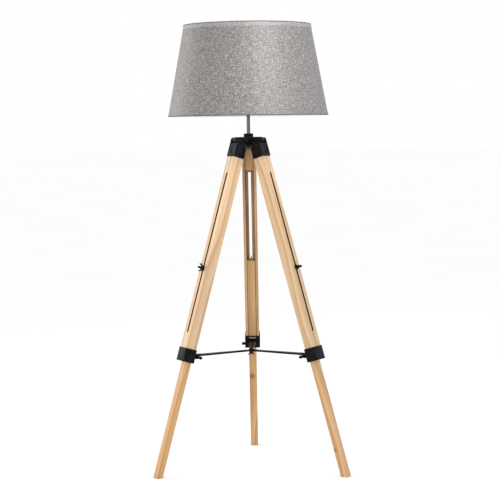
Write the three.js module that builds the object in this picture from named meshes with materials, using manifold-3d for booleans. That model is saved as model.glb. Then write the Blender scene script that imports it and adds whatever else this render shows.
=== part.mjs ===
// Wooden tripod floor lamp with telescopic legs and a tapered linen shade.
// Millimetres, +Z up. The floor is z = 0 and the origin is the middle of the lamp's footprint box.
import * as THREE from "three";
import { mergeVertices } from "three/addons/utils/BufferGeometryUtils.js";
import Module from "manifold-3d";

const wasm = await Module();
wasm.setup();

// ---- driving sizes ----------------------------------------------------------------------------
const GAP = 0.3; // between pieces that touch
const LEG_COUNT = 3;
const BACK_LEG = Math.PI / 2; // azimuth of the first leg
const LEG_TILT = THREE.MathUtils.degToRad(16.65); // from upright
const PIVOT_RADIUS = 38;
const PIVOT_HEIGHT = 931;
const PIVOT_OUTSET = 9.8; // the hinge sits this far outside the middle of the leg

const BEAM_WIDTH = 40; // across the leg
const BEAM_DEPTH = 30; // from the inner face to the outer face
const BEAM_TOP = 20; // distances along the leg are measured down from the hinge
const BEAM_END = 635;
const GROOVE_TOP = 83;
const SLAT_WIDTH = 22;
const SLAT_DEPTH = 20;
const SLAT_TOP = 360;
const SLOT_WIDTH = 8;
const SLOT_TOP = 95;
const SLOT_END = 556;

const STUD_RADIUS = 3;
const STUD_DROP = 12; // below the top of the slat
const STUD_BURIED = 14;
const STUD_PROUD = 17;
const WASHER_RADIUS = 8;
const WASHER_THICK = 1.4;
const NUT_RADIUS = 5.6;
const NUT_HEIGHT = 6;
const WING_REACH = 11.5;
const WING_RISE = 12;
const WING_THICK = 2.6;

const SHEET = 1.8; // sheet metal of the caps and collars
const CAP_END = 48.5;
const CAP_FRONT_TOP = 9.5;
const CAP_SCREW_DROP = 36;
const PIN_RADIUS = 3;
const PIN_HEAD = 5.4;
const PIN_HEAD_THICK = 2.4;

const LUG_RADIUS = 8.5;
const LUG_HALF_WIDTH = 12;
const HUB_RADIUS = 14;
const HUB_DROP = 8.5; // the hub's core reaches this far below the hinges
const HUB_FLANGE_RADIUS = 15.8;
const HUB_FLANGE_THICK = 2;
const COLLAR_NUT_HEIGHT = 9.5;
const STEM_RADIUS = 5;
const STEM_BORE = 3.4;
const STEM_TAIL = 1.5; // below the lower nut
const LOWER_NUT_HEIGHT = 9;
const LOWER_NUT_RADIUS = 13;

const FERRULE_TOP = 599;
const FERRULE_LENGTH = 38;
const WINDOW_DROP = 3.5;
const WINDOW_HEIGHT = 5;
const WINDOW_WIDTH = 21;
const EYE_DROP = 18; // spreader pivot, below the top of the ferrule
const EYE_REACH = 13; // spreader pivot, inwards from the ferrule's face
const EYE_RADIUS = 6;
const EYE_HALF_WIDTH = 7.2;
const BAR_WIDTH = 11;
const BAR_THICK = 4.5;
const FORK_THICK = 3;
const FORK_LENGTH = 15;
const FORK_FLARE = 115;
const BAR_LIFT = 4.8; // of a spreader bar above its pivot
const BAR_SCREW_RADIUS = 2.5;
const KNOB_RADIUS = 4.2;
const KNOB_NECK = 11.5; // holds the knob clear of the side of the ferrule
const KNOB_LENGTH = 8.5;
const HUB_EYE_RADIUS = 8;
const HUB_EYE_THICK = 1.8;
const SPREADER_NUT_SIZE = 0.75; // of a leg's wing nut
const BAR_START = 12;

const SHADE_RISE = 68; // lower edge of the shade above the hinges
const SHADE_HEIGHT = 253.5;
const SHADE_BOTTOM_RADIUS = 225;
const SHADE_TOP_RADIUS = 178;
const LINEN_THICK = 0.9;
const LINER_THICK = 0.7;
const WIRE_RADIUS = 2;
const FITTER_RISE = 62; // fitter ring above the shade's lower edge
const FITTER_THICK = 2;
const FITTER_WIDTH = 7;
const HOLDER_RADIUS = 19.5;
const HOLDER_HEIGHT = 62;
const HOLDER_FLANGE = 24;
const HOLDER_CAP_HEIGHT = 20;
const HOLDER_WALL = 4.6;
const RING_HEIGHT = 8;
const RING_WIDTH = 8;
const BULB_RADIUS = 30;
const BULB_LENGTH = 92; // of the glass
const BULB_CAP_RADIUS = 13.2;
const BULB_CAP_LENGTH = 24;

// ---- materials --------------------------------------------------------------------------------
function finish(color, roughness, metalness) {
  return new THREE.MeshStandardMaterial({ color, roughness, metalness });
}
const PINE = finish(0xd9ac74, 0.55, 0);
const BLACK = finish(0x17171a, 0.45, 0.4);
const STEEL = finish(0x8c8e90, 0.25, 1);
const LINEN = finish(0x8d8986, 0.95, 0);
const LINER = finish(0xf2efe8, 0.7, 0);
const PLASTIC = finish(0x1b1b1d, 0.5, 0);
const OPAL = finish(0xf6f2e6, 0.3, 0);

// ---- solids -----------------------------------------------------------------------------------
function solid(geometry) {
  const bare = geometry.clone();
  bare.deleteAttribute("normal");
  bare.deleteAttribute("uv");
  const merged = mergeVertices(bare, 1e-4);
  return new wasm.Manifold(
    new wasm.Mesh({
      numProp: 3,
      vertProperties: new Float32Array(merged.attributes.position.array),
      triVerts: new Uint32Array(merged.index.array),
    }),
  );
}

function geometryOf(made) {
  const out = made.getMesh();
  const geometry = new THREE.BufferGeometry();
  geometry.setAttribute("position", new THREE.BufferAttribute(out.vertProperties, 3));
  geometry.setIndex(new THREE.BufferAttribute(out.triVerts, 1));
  geometry.computeVertexNormals();
  return geometry;
}

function join(...geometries) {
  return geometryOf(geometries.map(solid).reduce((a, b) => a.add(b)));
}

function cut(geometry, ...tools) {
  return geometryOf(tools.map(solid).reduce((a, b) => a.subtract(b), solid(geometry)));
}

// A box between two corners.
function block(x0, x1, y0, y1, z0, z1) {
  const box = new THREE.BoxGeometry(x1 - x0, y1 - y0, z1 - z0);
  return box.translate((x0 + x1) / 2, (y0 + y1) / 2, (z0 + z1) / 2);
}

// Round bars along each axis, from one end to the other.
function barX(radius, x0, x1, y = 0, z = 0, sides = 12) {
  const bar = new THREE.CylinderGeometry(radius, radius, x1 - x0, sides);
  return bar.rotateZ(-Math.PI / 2).translate((x0 + x1) / 2, y, z);
}

function barY(radius, y0, y1, x = 0, z = 0, sides = 12) {
  const bar = new THREE.CylinderGeometry(radius, radius, y1 - y0, sides);
  return bar.translate(x, (y0 + y1) / 2, z);
}

function barZ(radius, z0, z1, x = 0, y = 0, sides = 16) {
  const bar = new THREE.CylinderGeometry(radius, radius, z1 - z0, sides);
  return bar.rotateX(Math.PI / 2).translate(x, y, (z0 + z1) / 2);
}

// A plate whose outline lies in the XZ plane, from y0 to y1.
function plateXZ(shape, y0, y1) {
  const plate = new THREE.ExtrudeGeometry(shape, {
    depth: y1 - y0,
    bevelEnabled: false,
    curveSegments: 6,
  });
  return plate.rotateX(Math.PI / 2).translate(0, y1, 0);
}

// A plate whose outline lies in the XY plane, from z0 to z1.
function plateXY(shape, z0, z1) {
  const plate = new THREE.ExtrudeGeometry(shape, {
    depth: z1 - z0,
    bevelEnabled: false,
    curveSegments: 6,
  });
  return plate.translate(0, 0, z0);
}

// A turned piece: [radius, height] points that start and end on the axis, or close on themselves.
function turned(points, sides = 32) {
  const profile = points.map(([r, z]) => new THREE.Vector2(r, z));
  return new THREE.LatheGeometry(profile, sides).rotateX(Math.PI / 2);
}

function ringOf(inner, outer, z0, z1, sides = 24) {
  return turned([[inner, z0], [outer, z0], [outer, z1], [inner, z1], [inner, z0]], sides);
}

// A hoop of round wire.
function hoop(radius, z, wire, sides = 48, around = 6) {
  const points = [];
  for (let i = 0; i <= around; i++) {
    const turn = (2 * Math.PI * i) / around;
    points.push([radius + wire * Math.cos(turn), z + wire * Math.sin(turn)]);
  }
  points[around] = points[0];
  return turned(points, sides);
}

function outline(points) {
  return new THREE.Shape(points.map(([x, y]) => new THREE.Vector2(x, y)));
}

function piece(name, geometry, material) {
  const mesh = new THREE.Mesh(geometry, material);
  mesh.name = name;
  return mesh;
}

// ---- legs: x is outwards from the middle of the beam, z is up along the leg from the hinge ------
const INNER_FACE = -BEAM_DEPTH / 2;
const OUTER_FACE = BEAM_DEPTH / 2;
const SLAT_FACE = INNER_FACE + SLAT_DEPTH;
const STUD_AT = -(SLAT_TOP + STUD_DROP);

function upperLeg() {
  const half = BEAM_WIDTH / 2;
  const beam = block(INNER_FACE, OUTER_FACE, -half, half, -BEAM_END, -BEAM_TOP);
  const side = SLAT_WIDTH / 2 + GAP;
  const groove = block(INNER_FACE - 1, SLAT_FACE + GAP, -side, side, -BEAM_END - 1, -GROOVE_TOP);
  const r = SLOT_WIDTH / 2;
  const x1 = OUTER_FACE + 1;
  return cut(
    beam,
    groove,
    block(SLAT_FACE, x1, -r, r, -SLOT_END + r, -SLOT_TOP - r),
    barX(r, SLAT_FACE, x1, 0, -SLOT_TOP - r, 16),
    barX(r, SLAT_FACE, x1, 0, -SLOT_END + r, 16),
  );
}

// Distance along the leg at which a line at x meets the floor.
function floorAt(x) {
  return (PIVOT_HEIGHT + (x - PIVOT_OUTSET) * Math.sin(LEG_TILT)) / Math.cos(LEG_TILT);
}

function lowerLeg() {
  const side = outline([
    [INNER_FACE, -floorAt(INNER_FACE)],
    [SLAT_FACE, -floorAt(SLAT_FACE)],
    [SLAT_FACE, -SLAT_TOP],
    [INNER_FACE, -SLAT_TOP],
  ]);
  const slat = plateXZ(side, -SLAT_WIDTH / 2, SLAT_WIDTH / 2);
  const hole = barX(STUD_RADIUS + GAP, SLAT_FACE - STUD_BURIED - GAP, SLAT_FACE + 1, 0, STUD_AT);
  return cut(slat, hole);
}

function lockStud() {
  return barX(STUD_RADIUS, SLAT_FACE - STUD_BURIED, OUTER_FACE + STUD_PROUD, 0, STUD_AT);
}

function lockWasher() {
  const x0 = OUTER_FACE + GAP;
  const x1 = x0 + WASHER_THICK;
  return cut(
    barX(WASHER_RADIUS, x0, x1, 0, STUD_AT, 20),
    barX(STUD_RADIUS + GAP, x0 - 1, x1 + 1, 0, STUD_AT),
  );
}

// A wing nut on a screw of radius bore, seated on z = 0 with its wings rising along +Z.
function wingNut(bore, size = 1) {
  const root = NUT_RADIUS - 1;
  const top = NUT_HEIGHT - 0.8;
  const tip = WING_REACH;
  const wing = new THREE.Shape();
  wing.moveTo(-root, 0.6);
  wing.lineTo(root, 0.6);
  wing.quadraticCurveTo(tip - 1, 2.5, tip, WING_RISE - 1.6);
  wing.quadraticCurveTo(tip - 0.4, WING_RISE, tip - 2.6, WING_RISE - 0.6);
  wing.quadraticCurveTo(NUT_RADIUS + 0.4, NUT_HEIGHT, NUT_RADIUS - 1.6, top);
  wing.lineTo(1.6 - NUT_RADIUS, top);
  wing.quadraticCurveTo(-NUT_RADIUS - 0.4, NUT_HEIGHT, 2.6 - tip, WING_RISE - 0.6);
  wing.quadraticCurveTo(0.4 - tip, WING_RISE, -tip, WING_RISE - 1.6);
  wing.quadraticCurveTo(1 - tip, 2.5, -root, 0.6);
  const body = new THREE.CylinderGeometry(NUT_RADIUS - 1, NUT_RADIUS, NUT_HEIGHT, 16);
  body.rotateX(Math.PI / 2).translate(0, 0, NUT_HEIGHT / 2);
  const wings = new THREE.ExtrudeGeometry(wing, {
    depth: WING_THICK,
    bevelEnabled: false,
    curveSegments: 4,
  });
  wings.rotateX(Math.PI / 2).translate(0, WING_THICK / 2, 0);
  const nut = join(body, wings).scale(size, size, size);
  return cut(nut, barZ(bore + GAP, -1, WING_RISE + 1));
}

function legCap() {
  const inside = BEAM_WIDTH / 2 + GAP;
  const outside = inside + SHEET;
  const front = OUTER_FACE + GAP;
  const ear = front + SHEET - PIVOT_OUTSET;
  const side = new THREE.Shape();
  side.moveTo(INNER_FACE, -CAP_END);
  side.lineTo(front + SHEET, -CAP_END);
  side.lineTo(front + SHEET, 0);
  side.absarc(PIVOT_OUTSET, 0, ear, 0, Math.PI, false);
  side.lineTo(INNER_FACE, -BEAM_TOP);
  const cap = join(
    plateXZ(side, inside, outside),
    plateXZ(side, -outside, -inside),
    block(front, front + SHEET, -outside, outside, -CAP_END, -CAP_FRONT_TOP),
  );
  return cut(
    cap,
    barY(PIN_RADIUS + GAP, -outside - 1, outside + 1, PIVOT_OUTSET, 0),
    barX(2, front - 1, front + SHEET + 1, 0, -CAP_SCREW_DROP),
  );
}

function hingePin() {
  const reach = BEAM_WIDTH / 2 + SHEET + 2 * GAP;
  return join(
    barY(PIN_RADIUS, -reach - 1, reach + 1, PIVOT_OUTSET, 0),
    barY(PIN_HEAD, reach, reach + PIN_HEAD_THICK, PIVOT_OUTSET, 0, 16),
    barY(PIN_HEAD, -reach - PIN_HEAD_THICK, -reach, PIVOT_OUTSET, 0, 16),
  );
}

function capScrew() {
  const face = OUTER_FACE + SHEET + 2 * GAP;
  return join(
    barX(1.7, OUTER_FACE + GAP, face + 0.5, 0, -CAP_SCREW_DROP),
    barX(3.4, face, face + 1.4, 0, -CAP_SCREW_DROP, 14),
  );
}

const FERRULE_FACE = INNER_FACE - GAP - SHEET;
const EYE_X = FERRULE_FACE - EYE_REACH;
const EYE_Z = -(FERRULE_TOP + EYE_DROP);

// The steel collar round the end of the upper leg, with the lug that carries the spreader bar.
function ferrule() {
  const half = BEAM_WIDTH / 2 + GAP;
  const deep = BEAM_DEPTH / 2 + GAP;
  const end = -FERRULE_TOP - FERRULE_LENGTH;
  const shell = block(-deep - SHEET, deep + SHEET, -half - SHEET, half + SHEET, end, -FERRULE_TOP);
  const lug = join(
    barY(EYE_RADIUS, -EYE_HALF_WIDTH, EYE_HALF_WIDTH, EYE_X, EYE_Z, 16),
    block(EYE_X, FERRULE_FACE + 0.5, -EYE_HALF_WIDTH, EYE_HALF_WIDTH, EYE_Z - EYE_RADIUS, EYE_Z),
  );
  const windowTop = -FERRULE_TOP - WINDOW_DROP;
  const w = WINDOW_WIDTH / 2;
  return cut(
    join(cut(shell, block(-deep, deep, -half, half, end - 1, 1 - FERRULE_TOP)), lug),
    block(FERRULE_FACE - 0.1, -deep + 1, -w, w, windowTop - WINDOW_HEIGHT, windowTop),
    barY(BAR_SCREW_RADIUS + GAP, -EYE_HALF_WIDTH - 1, EYE_HALF_WIDTH + 1, EYE_X, EYE_Z),
  );
}

const FORK_INSIDE = EYE_HALF_WIDTH + GAP;
const FORK_OUTSIDE = FORK_INSIDE + FORK_THICK;

// The screw through the fork and the lug, with a round knob on one side.
function barScrew() {
  const seat = FORK_OUTSIDE + GAP;
  return join(
    barY(BAR_SCREW_RADIUS, -seat - 6, seat + 1, EYE_X, EYE_Z),
    barY(KNOB_RADIUS - 1.4, seat, seat + KNOB_NECK, EYE_X, EYE_Z, 14),
    barY(KNOB_RADIUS, seat + KNOB_NECK, seat + KNOB_NECK + KNOB_LENGTH, EYE_X, EYE_Z, 16),
  );
}

function barNut() {
  const seat = FORK_OUTSIDE + GAP;
  return cut(
    barY(4.6, -seat - 4, -seat, EYE_X, EYE_Z, 6),
    barY(BAR_SCREW_RADIUS + GAP, -seat - 5, 1 - seat, EYE_X, EYE_Z),
  );
}

// The same piece put in from the other side of the lug.
function turnedRound(geometry) {
  return geometry.translate(0, 0, -EYE_Z).rotateX(Math.PI).translate(0, 0, EYE_Z);
}

function legFrame(azimuth) {
  const turn = new THREE.Group();
  turn.rotation.z = azimuth;
  const tilt = new THREE.Group();
  tilt.position.set(PIVOT_RADIUS, 0, PIVOT_HEIGHT);
  tilt.rotation.y = -LEG_TILT;
  const middle = new THREE.Group();
  middle.position.x = -PIVOT_OUTSET;
  turn.add(tilt);
  tilt.add(middle);
  return { turn, middle };
}

function leg(name, azimuth, nutTurn, knobBehind) {
  const { turn, middle } = legFrame(azimuth);
  const nut = piece("wing_nut_" + name, wingNut(STUD_RADIUS), BLACK);
  nut.geometry.rotateZ(nutTurn).rotateY(Math.PI / 2);
  const screw = knobBehind ? turnedRound(barScrew()) : barScrew();
  const screwNut = knobBehind ? turnedRound(barNut()) : barNut();
  nut.position.set(OUTER_FACE + WASHER_THICK + 2 * GAP, 0, STUD_AT);
  middle.add(
    piece("upper_leg_" + name, upperLeg(), PINE),
    piece("lower_leg_" + name, lowerLeg(), PINE),
    piece("leg_cap_" + name, legCap(), BLACK),
    piece("hinge_pin_" + name, hingePin(), BLACK),
    piece("cap_screw_" + name, capScrew(), BLACK),
    piece("lock_stud_" + name, lockStud(), BLACK),
    piece("lock_washer_" + name, lockWasher(), BLACK),
    nut,
    piece("leg_collar_" + name, ferrule(), BLACK),
    piece("bar_screw_" + name, screw, BLACK),
    piece("bar_nut_" + name, screwNut, BLACK),
  );
  return turn;
}

// ---- spreader ---------------------------------------------------------------------------------
const EYE_FROM_AXIS =
  PIVOT_RADIUS +
  (EYE_X - PIVOT_OUTSET) * Math.cos(LEG_TILT) -
  EYE_Z * Math.sin(LEG_TILT);
const SPREADER_HEIGHT =
  PIVOT_HEIGHT +
  (EYE_X - PIVOT_OUTSET) * Math.sin(LEG_TILT) +
  EYE_Z * Math.cos(LEG_TILT) +
  BAR_LIFT;

// A flat bar from the centre screw to one collar. Each has its own layer in the stack of eyes.
function spreaderBar(layer) {
  const neck = EYE_FROM_AXIS - FORK_LENGTH;
  const flare = neck - FORK_FLARE;
  const w = BAR_WIDTH / 2;
  const t = BAR_THICK / 2;
  const bar = plateXY(
    outline([
      [BAR_START, -w],
      [flare, -w],
      [neck, -FORK_OUTSIDE],
      [neck, FORK_OUTSIDE],
      [flare, w],
      [BAR_START, w],
    ]),
    -t,
    t,
  );
  const z0 = layer * (HUB_EYE_THICK + GAP) - HUB_EYE_THICK / 2;
  const z1 = z0 + HUB_EYE_THICK;
  const cheek = [];
  for (const y of [FORK_INSIDE, -FORK_OUTSIDE]) {
    cheek.push(
      block(neck - 2, EYE_FROM_AXIS, y, y + FORK_THICK, -t, t),
      barY(EYE_RADIUS - 1, y, y + FORK_THICK, EYE_FROM_AXIS, -BAR_LIFT, 14),
    );
  }
  return cut(
    join(bar, ...cheek, barZ(HUB_EYE_RADIUS, z0, z1), block(0, BAR_START + 6, -w, w, z0, z1)),
    barZ(BAR_SCREW_RADIUS + GAP, -20, 20),
    barY(BAR_SCREW_RADIUS + GAP, -20, 20, EYE_FROM_AXIS, -BAR_LIFT),
  );
}

const STACK_HALF = 1.5 * HUB_EYE_THICK + GAP;

function spreaderScrew() {
  const top = STACK_HALF + GAP;
  const dome = turned([[0, top], [6, top], [5.4, top + 1.4], [3.4, top + 2.4], [0, top + 2.8]], 16);
  const tail = top + 1.2 + GAP + SPREADER_NUT_SIZE * NUT_HEIGHT + 1.5;
  return join(dome, barZ(BAR_SCREW_RADIUS, -tail, top + 1));
}

function spreader(azimuths) {
  const group = new THREE.Group();
  group.position.z = SPREADER_HEIGHT;
  azimuths.forEach(([name, azimuth], i) => {
    const bar = piece("spreader_bar_" + name, spreaderBar(i - 1), BLACK);
    bar.rotation.z = azimuth;
    group.add(bar);
  });
  const washer = ringOf(BAR_SCREW_RADIUS + GAP, 6.5, -STACK_HALF - GAP - 1.2, -STACK_HALF - GAP, 16);
  const nut = piece("spreader_wing_nut", wingNut(BAR_SCREW_RADIUS, SPREADER_NUT_SIZE), BLACK);
  nut.rotation.x = Math.PI;
  nut.position.z = -STACK_HALF - 2 * GAP - 1.2;
  group.add(
    piece("spreader_screw", spreaderScrew(), BLACK),
    piece("spreader_washer", washer, BLACK),
    nut,
  );
  return group;
}

// ---- head: hub, stem and lamp holder ----------------------------------------------------------
const SHADE_BOTTOM = PIVOT_HEIGHT + SHADE_RISE;
const HUB_TOP = PIVOT_HEIGHT + LUG_RADIUS;
const HUB_BASE = PIVOT_HEIGHT - HUB_DROP;
const LOWER_NUT_BASE = HUB_BASE - GAP - LOWER_NUT_HEIGHT;
const STEM_BASE = LOWER_NUT_BASE - STEM_TAIL;
const FITTER_SEAT = SHADE_BOTTOM + FITTER_RISE;
const HOLDER_BASE = FITTER_SEAT - GAP - 3 - HOLDER_CAP_HEIGHT;

function hub(azimuths) {
  const lugs = [];
  const holes = [];
  for (const [, azimuth] of azimuths) {
    const side = new THREE.Shape();
    side.moveTo(0, -LUG_RADIUS);
    side.lineTo(PIVOT_RADIUS, -LUG_RADIUS);
    side.absarc(PIVOT_RADIUS, 0, LUG_RADIUS - 1.3, -Math.PI / 2, Math.PI / 2, false);
    side.lineTo(PIVOT_RADIUS, LUG_RADIUS);
    side.lineTo(0, LUG_RADIUS);
    const boss = BEAM_WIDTH / 2;
    lugs.push(
      plateXZ(side, -LUG_HALF_WIDTH, LUG_HALF_WIDTH).translate(0, 0, PIVOT_HEIGHT).rotateZ(azimuth),
      barY(PIN_HEAD, -boss, boss, PIVOT_RADIUS, PIVOT_HEIGHT, 14).rotateZ(azimuth),
    );
    holes.push(barY(PIN_RADIUS + GAP, -30, 30, PIVOT_RADIUS, PIVOT_HEIGHT).rotateZ(azimuth));
  }
  return cut(
    join(
      barZ(HUB_RADIUS, HUB_BASE, HUB_TOP, 0, 0, 24),
      barZ(HUB_FLANGE_RADIUS, HUB_BASE, HUB_BASE + HUB_FLANGE_THICK, 0, 0, 28),
      ...lugs,
    ),
    barZ(STEM_RADIUS + GAP, HUB_BASE - 1, HUB_TOP + 1),
    ...holes,
  );
}

function collarNut() {
  const z0 = HUB_TOP + GAP;
  const z1 = z0 + COLLAR_NUT_HEIGHT;
  const r = HUB_RADIUS - 0.4;
  const bore = STEM_RADIUS + GAP;
  return turned([[bore, z0], [r, z0], [r, z1 - 1.5], [r - 1.5, z1], [bore, z1], [bore, z0]], 24);
}

// The domed nut that draws the stem down through the hub.
function lowerNut() {
  const z0 = LOWER_NUT_BASE;
  const z1 = HUB_BASE - GAP;
  const bore = STEM_RADIUS + GAP;
  const r = LOWER_NUT_RADIUS;
  return turned([
    [bore, z0],
    [r - 5.5, z0],
    [r - 2.5, z0 + 2.5],
    [r - 0.6, z1 - 2.5],
    [r, z1 - 1],
    [r, z1],
    [bore, z1],
    [bore, z0],
  ], 24);
}

function stem() {
  return ringOf(STEM_BORE, STEM_RADIUS, STEM_BASE, HOLDER_BASE + 8, 16);
}

// The bush in the stem's lower end through which the supply cord comes out.
function cordBush() {
  const z = STEM_BASE - GAP;
  const bore = 2.4;
  return turned([
    [bore, z - 3],
    [STEM_RADIUS + 0.6, z - 3],
    [STEM_RADIUS + 1.2, z],
    [STEM_BORE - GAP, z],
    [STEM_BORE - GAP, z + 7],
    [bore, z + 7],
    [bore, z - 3],
  ], 14);
}

function holderCap() {
  const z0 = HOLDER_BASE;
  const z1 = z0 + HOLDER_CAP_HEIGHT;
  const bore = STEM_RADIUS + GAP;
  return turned([
    [bore, z0],
    [9, z0],
    [9.6, z0 + 3],
    [HOLDER_RADIUS - 1.5, z0 + 9],
    [HOLDER_RADIUS, z0 + 12],
    [HOLDER_RADIUS, z1],
    [bore, z1],
    [bore, z0],
  ], 24);
}

function holderBody() {
  const z0 = HOLDER_BASE + HOLDER_CAP_HEIGHT + GAP;
  const seat = FITTER_SEAT - GAP;
  const top = z0 + HOLDER_HEIGHT - HOLDER_CAP_HEIGHT;
  const bore = HOLDER_RADIUS - HOLDER_WALL;
  const floor = top - BULB_CAP_LENGTH - 3;
  return turned([
    [0, z0],
    [HOLDER_FLANGE, z0],
    [HOLDER_FLANGE, seat],
    [HOLDER_RADIUS, seat],
    [HOLDER_RADIUS, top - 1],
    [HOLDER_RADIUS - 1, top],
    [bore, top],
    [bore, floor],
    [0, floor],
  ], 24);
}

const HOLDER_TOP = HOLDER_BASE + HOLDER_HEIGHT + GAP;
const BULB_CAP_BASE = HOLDER_TOP - BULB_CAP_LENGTH - 3 + GAP;

function shadeRing() {
  const z0 = FITTER_SEAT + FITTER_THICK + GAP;
  const inner = HOLDER_RADIUS + GAP;
  const ring = ringOf(inner, inner + RING_WIDTH, z0, z0 + RING_HEIGHT, 24);
  const notches = [];
  for (let i = 0; i < 12; i++) {
    const turn = (2 * Math.PI * i) / 12;
    const r = inner + RING_WIDTH + 0.6;
    notches.push(barZ(1.6, z0 - 1, z0 + RING_HEIGHT + 1, r * Math.cos(turn), r * Math.sin(turn), 6));
  }
  return cut(ring, ...notches);
}

function bulbCap() {
  const z0 = BULB_CAP_BASE;
  const z1 = z0 + BULB_CAP_LENGTH;
  const r = BULB_CAP_RADIUS;
  return turned([[0, z0], [4.5, z0], [5, z0 + 2], [r, z0 + 4], [r, z1], [0, z1]], 20);
}

function bulbGlass() {
  const z0 = BULB_CAP_BASE + BULB_CAP_LENGTH + GAP;
  const centre = z0 + BULB_LENGTH - BULB_RADIUS;
  const points = [[0, z0], [BULB_CAP_RADIUS - 0.4, z0], [BULB_CAP_RADIUS + 1, z0 + 12]];
  const start = -0.75;
  const steps = 7;
  for (let i = 0; i <= steps; i++) {
    const rise = start + ((Math.PI / 2 - start) * i) / steps;
    points.push([BULB_RADIUS * Math.cos(rise), centre + BULB_RADIUS * Math.sin(rise)]);
  }
  points[points.length - 1][0] = 0;
  return turned(points, 20);
}

// ---- shade ------------------------------------------------------------------------------------
const SHADE_TOP = SHADE_BOTTOM + SHADE_HEIGHT;

function shadeRadius(z) {
  const share = (z - SHADE_BOTTOM) / SHADE_HEIGHT;
  return SHADE_BOTTOM_RADIUS + (SHADE_TOP_RADIUS - SHADE_BOTTOM_RADIUS) * share;
}

function cone(inset, thick, margin) {
  const z0 = SHADE_BOTTOM + margin;
  const z1 = SHADE_TOP - margin;
  const r0 = shadeRadius(z0) - inset;
  const r1 = shadeRadius(z1) - inset;
  return turned([[r0 - thick, z0], [r0, z0], [r1, z1], [r1 - thick, z1], [r0 - thick, z0]], 48);
}

const LINER_INSET = LINEN_THICK + GAP;
const WIRE_INSET = LINER_INSET + LINER_THICK + 2 * GAP + WIRE_RADIUS;

function topHoop() {
  const z = SHADE_TOP - WIRE_RADIUS - 1;
  return hoop(shadeRadius(z) - WIRE_INSET, z, WIRE_RADIUS);
}

const LOWER_HOOP_Z = SHADE_BOTTOM + WIRE_RADIUS + 1;
const LOWER_HOOP_RADIUS = shadeRadius(LOWER_HOOP_Z) - WIRE_INSET;

function lowerHoop() {
  return hoop(LOWER_HOOP_RADIUS, LOWER_HOOP_Z, WIRE_RADIUS);
}

// Three arms from the lower hoop up to the ring round the lamp holder.
function fitter() {
  const armEnd = LOWER_HOOP_RADIUS - WIRE_RADIUS - 3 * GAP;
  const inner = HOLDER_RADIUS + 2 * GAP;
  const ringMiddle = inner + FITTER_WIDTH - 2;
  const seat = FITTER_SEAT + FITTER_THICK / 2;
  const arms = [];
  for (let i = 0; i < 3; i++) {
    const from = new THREE.Vector3(armEnd, 0, LOWER_HOOP_Z);
    const to = new THREE.Vector3(ringMiddle, 0, seat);
    const arm = new THREE.CylinderGeometry(WIRE_RADIUS, WIRE_RADIUS, from.distanceTo(to), 6);
    const along = new THREE.Vector3().subVectors(to, from).normalize();
    const aim = new THREE.Quaternion().setFromUnitVectors(new THREE.Vector3(0, 1, 0), along);
    const middle = from.add(to).multiplyScalar(0.5);
    arm.applyQuaternion(aim).translate(middle.x, middle.y, middle.z);
    arms.push(arm.rotateZ(Math.PI / 6 + (2 * Math.PI * i) / 3));
  }
  const ring = ringOf(inner, inner + FITTER_WIDTH, FITTER_SEAT, FITTER_SEAT + FITTER_THICK, 24);
  const bore = barZ(inner, FITTER_SEAT - 10, FITTER_SEAT + 10, 0, 0, 24);
  const room = ringOf(
    inner - 1,
    inner + RING_WIDTH + 1,
    FITTER_SEAT + FITTER_THICK,
    FITTER_SEAT + FITTER_THICK + 10,
    24,
  );
  const below = ringOf(inner - 1, HOLDER_FLANGE + 1, FITTER_SEAT - 10, FITTER_SEAT, 24);
  return cut(join(ring, ...arms), bore, room, below);
}

// ---- the lamp ---------------------------------------------------------------------------------
const lamp = new THREE.Group();
const names = ["back", "left", "right"];
const azimuths = names.map((name, i) => [name, BACK_LEG + (2 * Math.PI * i) / LEG_COUNT]);
const nutTurns = { back: 0, left: 0.1, right: 1.35 };

azimuths.forEach(([name, azimuth]) => {
  lamp.add(leg(name, azimuth, nutTurns[name], name === "right"));
});
lamp.add(
  spreader(azimuths),
  piece("hub", hub(azimuths), BLACK),
  piece("stem_collar", collarNut(), BLACK),
  piece("hub_lower_nut", lowerNut(), BLACK),
  piece("stem", stem(), STEEL),
  piece("cord_bush", cordBush(), PLASTIC),
  piece("holder_cap", holderCap(), PLASTIC),
  piece("holder_body", holderBody(), PLASTIC),
  piece("shade_ring", shadeRing(), PLASTIC),
  piece("bulb_cap", bulbCap(), STEEL),
  piece("bulb_glass", bulbGlass(), OPAL),
  piece("shade_linen", cone(0, LINEN_THICK, 0), LINEN),
  piece("shade_liner", cone(LINER_INSET, LINER_THICK, 0), LINER),
  piece("shade_top_hoop", topHoop(), STEEL),
  piece("shade_lower_hoop", lowerHoop(), STEEL),
  piece("shade_fitter", fitter(), STEEL),
);

const bounds = new THREE.Box3().setFromObject(lamp, true);
const middle = bounds.getCenter(new THREE.Vector3());
lamp.position.set(-middle.x, -middle.y, -bounds.min.z);

const part = new THREE.Group();
part.add(lamp);

export default part;
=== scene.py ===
"""Wooden tripod floor lamp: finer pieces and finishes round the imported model. Metres, +Z up."""

import math

import bmesh
import bpy
from mathutils import Matrix, Vector


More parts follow.
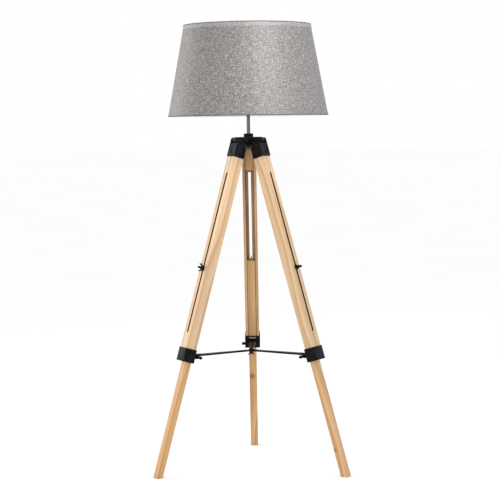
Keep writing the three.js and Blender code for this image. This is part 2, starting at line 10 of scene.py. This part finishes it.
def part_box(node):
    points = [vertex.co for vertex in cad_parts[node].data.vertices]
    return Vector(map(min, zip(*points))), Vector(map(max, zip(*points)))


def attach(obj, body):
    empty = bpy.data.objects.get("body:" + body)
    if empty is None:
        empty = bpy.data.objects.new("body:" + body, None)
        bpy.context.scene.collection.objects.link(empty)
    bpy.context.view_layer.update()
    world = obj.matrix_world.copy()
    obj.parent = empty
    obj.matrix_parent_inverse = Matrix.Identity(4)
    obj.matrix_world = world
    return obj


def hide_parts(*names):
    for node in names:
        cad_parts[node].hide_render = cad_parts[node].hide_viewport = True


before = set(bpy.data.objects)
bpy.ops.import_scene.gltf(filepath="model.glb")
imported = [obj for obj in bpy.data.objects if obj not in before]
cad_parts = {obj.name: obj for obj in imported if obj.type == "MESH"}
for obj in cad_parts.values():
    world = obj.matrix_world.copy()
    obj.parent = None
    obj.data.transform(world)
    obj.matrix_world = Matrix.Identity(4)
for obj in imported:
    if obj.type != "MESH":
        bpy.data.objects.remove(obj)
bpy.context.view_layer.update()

LEGS = {"back": 90, "left": 210, "right": 330}  # azimuths in degrees
LEG_TILT = math.radians(16.65)
HINGE_RADIUS, HINGE_HEIGHT, HINGE_OUTSET = 0.038, 0.931, 0.0098
# the groove's floor and the beam's inner and outer faces, outwards from the middle of a leg
SLAT_FACE, INNER_FACE, OUTER_FACE = 0.005, -0.015, 0.015
SLOT_HALF, GROOVE_HALF = 0.004, 0.0113
BEAM_EASE, SLAT_EASE = 0.0009, 0.0012  # rounding of the wood's edges
SHARP_EDGE, SHADING_EDGE = math.radians(34), math.radians(32)

stem_low, stem_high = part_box("stem")
AXIS = Vector(((stem_low.x + stem_high.x) / 2, (stem_low.y + stem_high.y) / 2, 0))
shade_low, shade_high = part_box("shade_linen")
SHADE_BASE, SHADE_TOP = shade_low.z, shade_high.z
BASE_RADIUS, TOP_RADIUS = 0.225, 0.178
LINEN_THICK = 0.0009
HEM_TOP, HEM_BASE = 0.0125, 0.008  # widths of the turned edges
HOOP_WIRE = 0.002
SHADE_STEPS = 144


# ---- finishes -----------------------------------------------------------------------------------
def finish(name, **values):
    made = bpy.data.materials.new(name)
    made.use_nodes = True
    shader = made.node_tree.nodes["Principled BSDF"]
    for key, value in values.items():
        shader.inputs[key.replace("_", " ")].default_value = value
    return made, made.node_tree, shader


def add(tree, kind, settings=None, **inputs):
    made = tree.nodes.new("ShaderNode" + kind)
    for key, value in (settings or {}).items():
        setattr(made, key, value)
    for key, value in inputs.items():
        socket = made.inputs[key.replace("_", " ")]
        if isinstance(value, bpy.types.NodeSocket):
            tree.links.new(value, socket)
        else:
            socket.default_value = value
    return made


def noise(tree, place, scale, detail=3.0, rough=0.55):
    made = add(tree, "TexNoise", Vector=place, Scale=scale, Detail=detail, Roughness=rough)
    return made.outputs["Fac"]


def stretch(tree, place, scale, shift=(0, 0, 0)):
    return add(tree, "Mapping", Vector=place, Scale=scale, Location=shift).outputs[0]


def ramp(tree, source, stops):
    made = add(tree, "ValToRGB", Fac=source)
    marks = made.color_ramp.elements
    while len(marks) < len(stops):
        marks.new(0.5)
    for mark, (at, color) in zip(marks, stops):
        mark.position = at
        mark.color = (*color, 1) if len(color) == 3 else color
    return made.outputs["Color"]


def grey(value):
    return (value, value, value)


def mix(tree, share, a, b, mode="MIX"):
    made = tree.nodes.new("ShaderNodeMix")
    made.data_type, made.blend_type = "RGBA", mode
    for socket, value in zip((made.inputs[0], made.inputs[6], made.inputs[7]), (share, a, b)):
        if isinstance(value, bpy.types.NodeSocket):
            tree.links.new(value, socket)
        elif socket == made.inputs[0]:
            socket.default_value = value
        else:
            socket.default_value = (*value, 1)
    return made.outputs[2]


def range_of(tree, source, low, high):
    made = add(tree, "MapRange", Value=source)
    made.inputs["To Min"].default_value = low
    made.inputs["To Max"].default_value = high
    return made.outputs[0]


def relief(tree, shader, height, strength, depth):
    made = add(tree, "Bump", Height=height, Strength=strength, Distance=depth)
    tree.links.new(made.outputs[0], shader.inputs["Normal"])


def object_place(tree):
    return add(tree, "TexCoord").outputs["Object"]


def groove_edges(tree, along, azimuth, shift):
    """1 along both mouth edges of a beam's groove, 0 elsewhere."""
    hinge = Matrix.Rotation(-azimuth, 3, "Z") @ AXIS + Vector((HINGE_RADIUS, 0, HINGE_HEIGHT))
    middle = Matrix.Rotation(LEG_TILT, 3, "Y") @ hinge - Vector((HINGE_OUTSET, 0, 0))
    place = add(tree, "VectorMath", {"operation": "SUBTRACT"}, Vector=along)
    place.inputs[1].default_value = middle + Vector(shift)
    parts = add(tree, "SeparateXYZ", Vector=place.outputs[0])
    across = add(tree, "Math", {"operation": "ABSOLUTE"})
    tree.links.new(parts.outputs["Y"], across.inputs[0])
    masks = []
    for source, centre, reach in (
        (across.outputs[0], GROOVE_HALF + 0.0006, 0.0007),
        (parts.outputs["X"], INNER_FACE, 0.002),
    ):
        mask = add(tree, "Math", {"operation": "COMPARE"})
        tree.links.new(source, mask.inputs[0])
        mask.inputs[1].default_value, mask.inputs[2].default_value = centre, reach
        masks.append(mask.outputs[0])
    both = add(tree, "Math", {"operation": "MULTIPLY"})
    for mask, socket in zip(masks, both.inputs):
        tree.links.new(mask, socket)
    return both.outputs[0]


def lacquered_pine(name, azimuth, shift, tones, knots=(), grooved=False):
    """Pine whose grain runs along a leg, with growth rings, fibres, pores and a satin lacquer."""
    made, tree, shader = finish(name, Coat_Weight=0.1, Coat_Roughness=0.28, Specular_IOR_Level=0.3)
    pale, gold, late = tones
    place = object_place(tree)
    turn = Matrix.Rotation(LEG_TILT, 3, "Y") @ Matrix.Rotation(-azimuth, 3, "Z")
    along = add(tree, "Mapping", Vector=place, Rotation=turn.to_euler(), Location=shift).outputs[0]
    drawn = stretch(tree, along, (1, 1, 0.045))
    sway = noise(tree, stretch(tree, along, (9, 9, 1.4)), 1.0, 2.0)
    bent = add(tree, "VectorMath", {"operation": "SCALE"}, Vector=sway, Scale=0.03).outputs[0]
    swayed = add(tree, "VectorMath", Vector=drawn)
    tree.links.new(bent, swayed.inputs[1])
    rings = add(
        tree,
        "TexWave",
        {"wave_type": "BANDS", "bands_direction": "DIAGONAL", "wave_profile": "SAW"},
        Vector=swayed.outputs[0],
        Scale=24.0,
        Distortion=3.2,
        Detail=2.0,
        Detail_Scale=0.8,
    )
    growth = [(0.0, pale), (0.5, gold), (0.86, late), (1.0, pale)]
    early_late = ramp(tree, rings.outputs["Fac"], growth)
    fibres = noise(tree, stretch(tree, along, (900, 900, 14)), 1.0, 4.0, 0.6)
    streaks = noise(tree, stretch(tree, along, (120, 120, 2.2)), 1.0, 3.0)
    broad = noise(tree, stretch(tree, along, (14, 14, 1.1)), 1.0, 2.0)
    color = mix(tree, 0.35, early_late, ramp(tree, streaks, [(0.3, late), (0.7, pale)]))
    color = mix(tree, 0.22, color, ramp(tree, broad, [(0.35, gold), (0.65, pale)]))
    pores = ramp(tree, fibres, [(0.3, grey(0.74)), (0.6, grey(1.0))])
    color = mix(tree, 0.5, color, pores, "MULTIPLY")
    for centre, size in knots:
        gap = add(tree, "VectorMath", {"operation": "DISTANCE"}, Vector=place)
        gap.inputs[1].default_value = centre
        ragged = noise(tree, stretch(tree, along, (160, 160, 60)), 1.0, 3.0)
        reach = add(tree, "Math", {"operation": "MULTIPLY_ADD"})
        tree.links.new(ragged, reach.inputs[0])
        reach.inputs[1].default_value = 0.8 * size
        tree.links.new(gap.outputs["Value"], reach.inputs[2])
        spread = range_of(tree, reach.outputs[0], 0.0, 1.0)
        spread.node.inputs["From Min"].default_value = 0.5 * size
        spread.node.inputs["From Max"].default_value = 2.2 * size
        fade = ramp(tree, spread, [(0.0, grey(1)), (0.3, grey(0.75)), (1.0, grey(0))])
        color = mix(tree, fade, color, KNOT_BROWN)
    if grooved:
        color = mix(tree, groove_edges(tree, along, azimuth, shift), color, GROOVE_SHADOW)
    tree.links.new(color, shader.inputs["Base Color"])
    tree.links.new(range_of(tree, streaks, 0.42, 0.6), shader.inputs["Roughness"])
    relief(tree, shader, fibres, 0.25, 0.0002)
    return made


# pale early wood, golden middle and dark late wood
BEAM_PINE = (0.66, 0.50, 0.335), (0.56, 0.375, 0.205), (0.36, 0.19, 0.08)
# the back beam's tones are darker and warmer than the other beams': painted shade, for the lesser
# light that reaches the back leg
SHADED_BACK_PINE = (0.61, 0.42, 0.235), (0.49, 0.295, 0.135), (0.31, 0.15, 0.055)
SLAT_PINE = (0.635, 0.415, 0.215), (0.53, 0.305, 0.13), (0.34, 0.155, 0.055)
KNOT_BROWN = (0.20, 0.085, 0.03)
GROOVE_SHADOW = (0.05, 0.02, 0.008)
# painted shade: the dark tones of the slot's and the groove's walls stand for the shadow inside
# those narrow recesses
SLOT_PAINTED_SHADE = (0.025, 0.004, 0.002), (0.075, 0.015, 0.006)
GROOVE_WALL_PAINTED_SHADE = (0.13, 0.055, 0.018), (0.24, 0.11, 0.04)
# middle and size of each knot
KNOTS = {
    "back": [((-0.003, 0.1805, 0.2235), 0.007)],
    "right": [((0.232, -0.190, 0.073), 0.0035)],
}


def recess_painted_shade(name, deep, light):
    """Darkened wood for the walls of a slot or a groove: painted shade, for the shadow that falls
    inside those narrow recesses.
    """
    made, tree, shader = finish(name, Roughness=0.8, Specular_IOR_Level=0.08)
    patch = noise(tree, stretch(tree, object_place(tree), (300, 300, 40)), 1.0)
    tree.links.new(ramp(tree, patch, [(0.3, deep), (0.7, light)]), shader.inputs["Base Color"])
    relief(tree, shader, patch, 0.3, 0.0002)
    return made


def powder_coat():
    """Satin black powder coat with its fine orange peel and a few rubbed patches."""
    made, tree, shader = finish("black_powder_coat", Specular_IOR_Level=0.05)
    place = object_place(tree)
    peel = noise(tree, place, 1400.0, 2.0)
    rubbed = noise(tree, place, 34.0, 4.0, 0.65)
    tree.links.new(
        ramp(tree, rubbed, [(0.42, (0.003, 0.003, 0.0035)), (0.68, (0.010, 0.010, 0.0125))]),
        shader.inputs["Base Color"],
    )
    tree.links.new(range_of(tree, rubbed, 0.24, 0.5), shader.inputs["Roughness"])
    relief(tree, shader, peel, 0.16, 0.0002)
    return made


def bright_metal(name, color, low, high):
    """Polished metal with faint turning marks and smudges."""
    made, tree, shader = finish(name, Metallic=1.0)
    place = object_place(tree)
    marks = noise(tree, stretch(tree, place, (30, 30, 2600)), 1.0, 2.0)
    smudge = noise(tree, place, 26.0, 3.0)
    dull = tuple(0.8 * c for c in color)
    tree.links.new(ramp(tree, smudge, [(0.35, dull), (0.65, color)]), shader.inputs["Base Color"])
    tree.links.new(range_of(tree, smudge, low, high), shader.inputs["Roughness"])
    relief(tree, shader, marks, 0.06, 0.0001)
    return made


def moulded(name, deep, light, low, high, grain=700.0):
    """Moulded plastic, enamel or glass with a fine grain and a little colour drift."""
    made, tree, shader = finish(name, Coat_Weight=0.1)
    place = object_place(tree)
    drift = noise(tree, place, 30.0, 3.0)
    tree.links.new(ramp(tree, drift, [(0.3, deep), (0.7, light)]), shader.inputs["Base Color"])
    tree.links.new(range_of(tree, drift, low, high), shader.inputs["Roughness"])
    relief(tree, shader, noise(tree, place, grain, 2.0), 0.08, 0.0001)
    return made


THREAD_PITCH = 0.0013
LINEN_DARK, LINEN_MID = (0.020, 0.018, 0.017), (0.118, 0.108, 0.104)
LINEN_PALE = (0.50, 0.48, 0.47)


def slub_linen(name, lift):
    """Grey linen in plain weave with uneven slubbed threads. Its UV map is in metres of cloth."""
    made, tree, shader = finish(name, Specular_IOR_Level=1.0)
    cloth = add(tree, "TexCoord").outputs["UV"]
    wander = noise(tree, cloth, 190.0, 2.0)
    shifted = add(tree, "VectorMath", {"operation": "MULTIPLY_ADD"}, Vector=wander)
    shifted.inputs[1].default_value = (0.0011, 0.0011, 0)
    tree.links.new(cloth, shifted.inputs[2])
    threads = []
    for direction in ("X", "Y"):
        wave = add(
            tree,
            "TexWave",
            {"wave_type": "BANDS", "bands_direction": direction, "wave_profile": "SIN"},
            Vector=shifted.outputs[0],
            Scale=math.pi / (10 * THREAD_PITCH),  # one wave in two threads
        )
        threads.append(wave.outputs["Fac"])
    over = add(tree, "TexChecker", Vector=shifted.outputs[0], Scale=1 / THREAD_PITCH)
    over.inputs["Color1"].default_value = (*grey(1), 1)
    over.inputs["Color2"].default_value = (*grey(0), 1)
    weave = mix(tree, over.outputs["Fac"], threads[0], threads[1])
    weft = noise(tree, stretch(tree, cloth, (62, 340, 1)), 1.0, 3.0, 0.65)
    warp = noise(tree, stretch(tree, cloth, (300, 60, 1), (3.1, 1.7, 0)), 1.0, 3.0, 0.65)
    fleck = noise(tree, cloth, 230.0, 4.0, 0.7)
    mottle = noise(tree, cloth, 36.0, 3.0)
    tones = [(0.35, LINEN_DARK), (0.5, LINEN_MID), (0.66, LINEN_PALE)]
    threads_toned = mix(tree, 0.5, ramp(tree, weft, tones), ramp(tree, warp, tones))
    color = mix(tree, 0.45, threads_toned, ramp(tree, fleck, tones))
    clouds = ramp(tree, mottle, [(0.3, grey(0.7)), (0.7, grey(1))])
    gaps = ramp(tree, weave, [(0.1, grey(0.35)), (0.75, grey(1))])
    color = mix(tree, 0.35, color, clouds, "MULTIPLY")
    color = mix(tree, 0.45, color, gaps, "MULTIPLY")
    color = mix(tree, lift, color, LINEN_PALE)
    tree.links.new(color, shader.inputs["Base Color"])
    tree.links.new(range_of(tree, fleck, 0.42, 0.7), shader.inputs["Roughness"])
    relief(tree, shader, mix(tree, 0.4, weave, threads_toned), 0.2, 0.0004)
    return made


# ---- making pieces ------------------------------------------------------------------------------
def show(name, bm, finishes, body, slot, *stands_for):
    mesh = bpy.data.meshes.new(name)
    bm.to_mesh(mesh)
    bm.free()
    for item in finishes:
        mesh.materials.append(item)
    mesh.shade_smooth()
    mesh.set_sharp_from_angle(angle=SHADING_EDGE)
    piece = bpy.data.objects.new(name, mesh)
    bpy.context.scene.collection.objects.link(piece)
    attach(piece, body)
    if stands_for:
        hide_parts(*stands_for)
    return piece


def eased(node, body, slot, finishes, width, segments=2, sort_faces=None):
    """A CAD node's own shape with its sharp edges rounded."""
    bm = bmesh.new()
    bm.from_mesh(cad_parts[node].data)
    bmesh.ops.remove_doubles(bm, verts=bm.verts, dist=2e-6)
    bmesh.ops.dissolve_limit(bm, angle_limit=math.radians(1.5), verts=bm.verts, edges=bm.edges)
    paired = [edge for edge in bm.edges if len(edge.link_faces) == 2]
    sharp = [edge for edge in paired if edge.calc_face_angle(0) > SHARP_EDGE]
    bmesh.ops.bevel(
        bm,
        geom=sharp,
        offset=width,
        offset_type="OFFSET",
        segments=segments,
        profile=0.5,
        affect="EDGES",
        clamp_overlap=True,
        material=-1,
    )
    if sort_faces:
        sort_faces(bm)
    return show(node + "_worked", bm, finishes, body, slot, node)


def turned(name, outline, finishes, body, slot, *stands_for, steps):
    """A piece turned on the lamp's axis from its outline of (radius, height) points."""
    bm = bmesh.new()
    verts = [bm.verts.new(AXIS + Vector((r, 0, z))) for r, z in outline]
    edges = [bm.edges.new(pair) for pair in zip(verts, verts[1:])]
    if outline[0][0] > 0 or outline[-1][0] > 0:
        edges.append(bm.edges.new((verts[-1], verts[0])))
    bmesh.ops.spin(
        bm, geom=verts + edges, cent=AXIS, axis=(0, 0, 1), angle=math.tau, steps=steps,
        use_merge=True,
    )
    bmesh.ops.remove_doubles(bm, verts=bm.verts, dist=1e-6)
    bmesh.ops.recalc_face_normals(bm, faces=bm.faces)
    return show(name, bm, finishes, body, slot, *stands_for)


def wire_circle(radius, height, wire, sides=14):
    turns = [math.tau * i / sides for i in range(sides)]
    return [(radius + wire * math.cos(a), height + wire * math.sin(a)) for a in turns]


# ---- legs ---------------------------------------------------------------------------------------
def in_leg(point, azimuth):
    """A point in a leg's own frame: x outwards from its middle, y across, z up along it."""
    flat = Matrix.Rotation(-azimuth, 3, "Z") @ (point - AXIS)
    from_hinge = flat - Vector((HINGE_RADIUS, 0, HINGE_HEIGHT))
    return Matrix.Rotation(LEG_TILT, 3, "Y") @ from_hinge + Vector((HINGE_OUTSET, 0, 0))


def painted_shade_faces(azimuth):
    """Gives the walls of a beam's slot its second finish, and those of its groove the third: both
    finishes are painted shade.
    """

    def sort(bm):
        bm.normal_update()
        for face in bm.faces:
            at = in_leg(face.calc_center_median(), azimuth)
            through_outer = SLAT_FACE + 0.0004 < at.x < OUTER_FACE - 0.0006
            on_groove_wall = GROOVE_HALF - 0.0003 < abs(at.y) < GROOVE_HALF + 0.0003
            if through_outer and abs(at.y) < SLOT_HALF + 0.0004:
                face.material_index = 1
            elif on_groove_wall and at.x < SLAT_FACE - 0.0005:
                face.material_index = 2

    return sort


def leg(name, azimuth, coat):
    # the slot's and the groove's walls get painted shade
    walls = [recess_painted_shade("slot_painted_shade", *SLOT_PAINTED_SHADE), recess_painted_shade("groove_painted_shade", *GROOVE_WALL_PAINTED_SHADE)]
    beam = lacquered_pine(
        "pine_upper_" + name, azimuth, (0.3 * azimuth, 0.11, 0.2 * azimuth),
        SHADED_BACK_PINE if name == "back" else BEAM_PINE, grooved=True,
    )
    slat = lacquered_pine(
        "pine_lower_" + name, azimuth, (0.7 + 0.2 * azimuth, 0.31, 0.5), SLAT_PINE,
        KNOTS.get(name, ()),
    )
    lower, upper = "lower_leg_" + name, "upper_leg_" + name
    eased(upper, "frame", "pine", [beam, *walls], BEAM_EASE, 3, painted_shade_faces(azimuth))
    eased(lower, lower, "pine", [slat], SLAT_EASE, 3)
    for node, width in (
        ("leg_cap_", 0.0006),
        ("leg_collar_", 0.0006),
        ("hinge_pin_", 0.0006),
        ("cap_screw_", 0.0004),
        ("bar_screw_", 0.0007),
        ("bar_nut_", 0.0005),
        ("spreader_bar_", 0.0006),
    ):
        eased(node + name, "frame", "black_metal", [coat], width)
    eased("lock_stud_" + name, lower, "black_metal", [coat], 0.0005)
    eased("lock_washer_" + name, lower, "black_metal", [coat], 0.0003)
    eased("wing_nut_" + name, "wing_nut_" + name, "black_metal", [coat], 0.0007)


# ---- shade --------------------------------------------------------------------------------------
def shade_radius(z):
    return BASE_RADIUS + (TOP_RADIUS - BASE_RADIUS) * (z - SHADE_BASE) / (SHADE_TOP - SHADE_BASE)


def cloth_map(piece):
    """A UV map in metres of cloth: round the shade, and up its slope."""
    layer = piece.data.uv_layers.new(name="cloth")
    middle = (BASE_RADIUS + TOP_RADIUS) / 2
    for face in piece.data.polygons:
        turns = []
        for i in face.loop_indices:
            at = piece.data.vertices[piece.data.loops[i].vertex_index].co - AXIS
            turns.append((i, math.atan2(at.y, at.x) % math.tau, at.z))
        wrapped = max(t for _, t, _ in turns) - min(t for _, t, _ in turns) > math.pi
        for i, turn, z in turns:
            if wrapped and turn < math.pi:
                turn += math.tau
            layer.data[i].uv = (turn * middle, (z - SHADE_BASE) * 1.017)


def rising(low, high, out, count):
    return [
        (shade_radius(low + (high - low) * i / count) + out, low + (high - low) * i / count)
        for i in range(count + 1)
    ]


def shell_of(low, high, out, thick, count=20):
    outer = rising(low, high, out, count)
    inner = rising(low, high, out - thick, count)
    return outer + inner[::-1]


def shade(linen, hem_linen, liner, wire, rim_shadow_cord):
    cloth = turned(
        "shade_cloth",
        shell_of(SHADE_BASE + 0.0004, SHADE_TOP - 0.0004, 0.0, LINEN_THICK, 24),
        [linen], "frame", "grey_linen", "shade_linen", steps=SHADE_STEPS,
    )
    cloth_map(cloth)
    for name, low, high, weave in (
        ("shade_hem_top", SHADE_TOP - HEM_TOP, SHADE_TOP, hem_linen),
        ("shade_hem_lower", SHADE_BASE, SHADE_BASE + HEM_BASE, linen),
    ):
        hem = turned(
            name, shell_of(low, high, 0.0008, 0.0006, 6), [weave], "frame", "grey_linen",
            steps=SHADE_STEPS,
        )
        cloth_map(hem)
    seam = bmesh.new()
    outline = [
        seam.verts.new(AXIS + Matrix.Rotation(math.radians(88.3), 3, "Z") @ Vector((r, 0, z)))
        for r, z in shell_of(
            SHADE_BASE + HEM_BASE + 0.0005, SHADE_TOP - HEM_TOP - 0.0005, 0.0007, 0.0005, 8
        )
    ]
    strip = seam.faces.new(outline)
    bmesh.ops.spin(
        seam, geom=[strip, *strip.edges, *strip.verts], cent=AXIS, axis=(0, 0, 1),
        angle=math.radians(3.4), steps=5, use_merge=False,
    )
    bmesh.ops.recalc_face_normals(seam, faces=seam.faces)
    overlap = show("shade_seam", seam, [linen], "frame", "grey_linen")
    cloth_map(overlap)
    # dark cords round both rims: painted shadow along the rolled edges
    for name, z in (
        ("shade_edge_top", SHADE_TOP - 0.0006),
        ("shade_edge_lower", SHADE_BASE + 0.0006),
    ):
        turned(
            name, wire_circle(shade_radius(z) + 0.0003, z, 0.0012, 8), [rim_shadow_cord], "frame",
            "grey_linen", steps=SHADE_STEPS,
        )
    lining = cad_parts["shade_liner"]
    lining.data.materials.clear()
    lining.data.materials.append(liner)
    for node in ("shade_top_hoop", "shade_lower_hoop"):
        low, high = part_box(node)
        turned(
            node + "_wire",
            wire_circle((high.x - low.x) / 2 - HOOP_WIRE, (low.z + high.z) / 2, HOOP_WIRE),
            [wire], "frame", "hoop_wire", node, steps=SHADE_STEPS,
        )
    eased("shade_fitter", "frame", "hoop_wire", [wire], 0.0004)


# ---- lamp holder and bulb -----------------------------------------------------------------------
def bulb(opal, thread):
    low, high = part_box("bulb_glass")
    neck, radius = 0.0128, (high.x - low.x) / 2
    centre = high.z - radius
    outline = [(0, low.z), (neck, low.z), (neck + 0.0002, low.z + 0.006)]
    start = math.radians(-43)
    shoulder = (radius * math.cos(start), centre + radius * math.sin(start))
    for i in range(1, 8):
        t = i / 8
        ease = t * t * (3 - 2 * t)
        z = low.z + 0.006 + (shoulder[1] - low.z - 0.006) * t
        outline.append((neck + (shoulder[0] - neck) * (0.45 * t + 0.55 * ease), z))
    for i in range(19):
        rise = start + (math.pi / 2 - start) * i / 18
        outline.append((radius * math.cos(rise) if i < 18 else 0, centre + radius * math.sin(rise)))
    turned("bulb_glass_blown", outline, [opal], "frame", "opal_glass", "bulb_glass", steps=56)
    low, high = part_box("bulb_cap")
    radius = (high.x - low.x) / 2
    outline = [(0, low.z), (0.0045, low.z), (0.005, low.z + 0.002), (radius - 0.001, low.z + 0.004)]
    for i in range(25):
        z = low.z + 0.004 + (high.z - low.z - 0.0045) * i / 24
        outline.append((radius - 0.0005 - 0.0005 * math.cos(math.tau * i / 4), z))
    outline.append((0, high.z))
    turned("bulb_cap_thread", outline, [thread], "frame", "bulb_metal", "bulb_cap", steps=40)


# ---- the lamp -----------------------------------------------------------------------------------
coat = powder_coat()
for leg_name, degrees in LEGS.items():
    leg(leg_name, math.radians(degrees), coat)
for node, width in (
    ("hub", 0.0008),
    ("stem_collar", 0.0006),
    ("hub_lower_nut", 0.0005),
    ("spreader_screw", 0.0005),
    ("spreader_washer", 0.0003),
):
    eased(node, "frame", "black_metal", [coat], width)
eased("spreader_wing_nut", "spreader_wing_nut", "black_metal", [coat], 0.0007)

# the stem's metal is made far darker than polished steel: a painted dark reflection, standing in
# for dark surroundings that its polish would mirror
darkened_stem_steel = bright_metal("polished_stem", (0.085, 0.085, 0.09), 0.10, 0.2)
stem_radius, stem_bore, stem_ease = (stem_high.x - stem_low.x) / 2, 0.0034, 0.0004
turned(
    "stem_tube",
    [
        (stem_bore, stem_low.z),
        (stem_radius - stem_ease, stem_low.z),
        (stem_radius, stem_low.z + stem_ease),
        (stem_radius, stem_high.z - stem_ease),
        (stem_radius - stem_ease, stem_high.z),
        (stem_bore, stem_high.z),
    ],
    [darkened_stem_steel], "frame", "polished_steel", "stem", steps=48,
)
bakelite = moulded("black_bakelite", (0.008, 0.008, 0.009), (0.02, 0.019, 0.019), 0.22, 0.4)
for node, body in (
    ("cord_bush", "frame"),
    ("holder_cap", "frame"),
    ("holder_body", "frame"),
    ("shade_ring", "shade_ring"),
):
    eased(node, body, "black_plastic", [bakelite], 0.0005)
bulb(
    moulded("opal_bulb", (0.86, 0.85, 0.81), (0.93, 0.92, 0.88), 0.08, 0.16, 300.0),
    bright_metal("rolled_thread", (0.74, 0.74, 0.75), 0.22, 0.4),
)
shade(
    slub_linen("grey_slub_linen", 0.0),
    slub_linen("grey_hem_linen", 0.2),
    moulded("styrene_lining", (0.78, 0.755, 0.70), (0.86, 0.84, 0.79), 0.5, 0.7),
    moulded("white_wire", (0.68, 0.68, 0.67), (0.8, 0.8, 0.79), 0.3, 0.45),
    # painted shadow along both rims
    moulded("painted_rim_shadow", (0.02, 0.018, 0.018), (0.06, 0.056, 0.055), 0.8, 0.95),
)


# ---- studio -------------------------------------------------------------------------------------
def floor():
    made, tree, shader = finish("pale_floor", Roughness=0.9)
    soft = noise(tree, object_place(tree), 1.2, 2.0)
    pale = ramp(tree, soft, [(0.3, grey(0.975)), (0.7, grey(0.99))])
    tree.links.new(pale, shader.inputs["Base Color"])
    bm = bmesh.new()
    bmesh.ops.create_circle(bm, cap_ends=True, radius=60.0, segments=64)
    mesh = bpy.data.meshes.new("studio_floor")
    bm.to_mesh(mesh)
    bm.free()
    mesh.materials.append(made)
    ground = bpy.data.objects.new("studio_floor", mesh)
    bpy.context.scene.collection.objects.link(ground)


def softbox(name, azimuth, height, distance, size, power, color, aim_height=0.95, spread=180):
    """A lamp of size (width, height), aimed at a height on the axis. Angles are in degrees."""
    light = bpy.data.lights.new(name, "AREA")
    light.shape, (light.size, light.size_y) = "RECTANGLE", size
    light.energy, light.color = power, color
    light.spread = math.radians(spread)
    lamp = bpy.data.objects.new(name, light)
    turn = math.radians(azimuth)
    lamp.location = AXIS + Vector((distance * math.cos(turn), distance * math.sin(turn), height))
    aim = AXIS + Vector((0, 0, aim_height)) - lamp.location
    lamp.rotation_euler = aim.to_track_quat("-Z", "Y").to_euler()
    bpy.context.scene.collection.objects.link(lamp)


def studio_air():
    world = bpy.data.worlds.new("studio_air")
    bpy.context.scene.world = world
    world.use_nodes = True
    air = world.node_tree.nodes["Background"]
    air.inputs["Color"].default_value = (1, 1, 1, 1)
    air.inputs["Strength"].default_value = 1.0
    bpy.context.scene.view_settings.view_transform = "Standard"


def camera(azimuth, distance, height, dip, roll, focal_length):
    lens = bpy.data.cameras.new("view")
    lens.lens, lens.sensor_width = focal_length, 36.0
    lens.clip_end = 200.0
    seen = bpy.data.objects.new("view", lens)
    turn, dip = math.radians(azimuth), math.radians(dip)
    away = Vector((math.cos(turn), math.sin(turn), 0))
    seen.location = AXIS + Vector((distance * away.x, distance * away.y, height))
    aim = Vector((-away.x * math.cos(dip), -away.y * math.cos(dip), -math.sin(dip)))
    level = aim.to_track_quat("-Z", "Y").to_matrix()
    seen.rotation_euler = (level @ Matrix.Rotation(math.radians(roll), 3, "Z")).to_euler()
    bpy.context.scene.collection.objects.link(seen)
    bpy.context.scene.camera = seen


floor()
softbox("key", -66, 1.62, 1.05, (0.12, 0.3), 0.9, (1.0, 0.985, 0.97), 1.15, 70)
softbox("strip", -56, 1.3, 1.9, (0.12, 0.5), 0.85, (1.0, 0.99, 0.98), 1.15, 42)
softbox("wood_fill", -116, 0.6, 2.6, (0.8, 1.0), 2.2, (1.0, 0.97, 0.93), 0.5, 60)
softbox("left_edge", 152, 1.4, 2.2, (0.4, 1.8), 15, (1.0, 0.93, 0.88))
softbox("low_left", 175, 0.5, 2.0, (0.3, 0.8), 8, (0.88, 0.94, 1.0), 0.3)
softbox("low_right", 5, 0.5, 2.0, (0.3, 0.8), 5, (0.88, 0.94, 1.0), 0.3)
softbox("cool_side", -12, 1.1, 2.6, (0.4, 1.6), 3, (0.7, 0.85, 1.0))
studio_air()
camera(azimuth=-88.81, distance=4.475, height=0.971, dip=4.49, roll=-0.75, focal_length=114.0)
